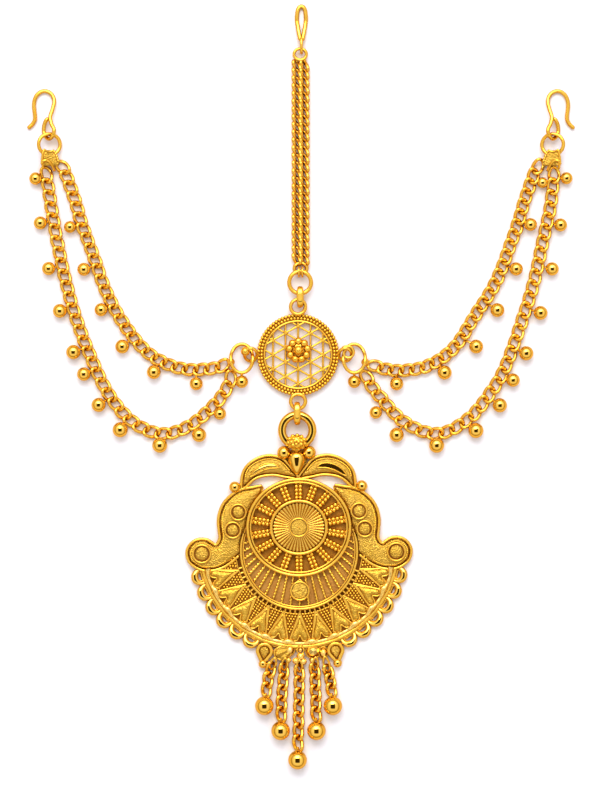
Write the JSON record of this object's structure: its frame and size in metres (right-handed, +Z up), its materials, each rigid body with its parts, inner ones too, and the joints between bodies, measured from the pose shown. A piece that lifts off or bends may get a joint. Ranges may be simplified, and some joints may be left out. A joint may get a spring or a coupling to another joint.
{
  "type": "forehead chain",
  "caption": "Gold forehead chain laid flat: hair chain with loop, pierced filigree disc, large openwork pendant with ball drops, and paired side chains with balls that end in hooks.",
  "frame": {"origin": "middle of the base of the box round the chain as it lies on a table", "axes": "+Y from the pendant towards the hair loop, +X to the right as seen from above, +Z up from the table"},
  "size_m": [0.137, 0.1912, 0.005],
  "materials": {
    "polished_gold": "polished yellow gold",
    "satin_gold": "satin yellow gold",
    "filigree_gold": "beaded yellow gold wire",
    "chain_gold": "polished yellow gold links"
  },
  "bodies": {
    "root": {"hair_loop": "polished_gold", "hair_ring": "polished_gold", "hair_chain": "chain_gold", "upper_jump_ring": "polished_gold", "upper_link": "polished_gold", "filigree_disc": "filigree_gold", "lower_link": "polished_gold", "pendant_ring": "polished_gold", "side_ring_left": "polished_gold", "side_ring_right": "polished_gold", "end_ring_left": "polished_gold", "end_ring_right": "polished_gold", "end_plate_left": "satin_gold", "end_plate_right": "satin_gold", "ear_hook_left": "polished_gold", "ear_hook_right": "polished_gold", "outer_chain_left": "chain_gold", "inner_chain_left": "chain_gold", "outer_chain_right": "chain_gold", "inner_chain_right": "chain_gold", "pendant": "satin_gold", "drop_chain_1": "chain_gold", "drop_chain_2": "chain_gold", "drop_chain_3": "chain_gold", "drop_chain_4": "chain_gold", "drop_chain_5": "chain_gold", "drop_ball_1": "polished_gold", "drop_ball_2": "polished_gold", "drop_ball_3": "polished_gold", "drop_ball_4": "polished_gold", "drop_ball_5": "polished_gold"}
  },
  "joints": []
}
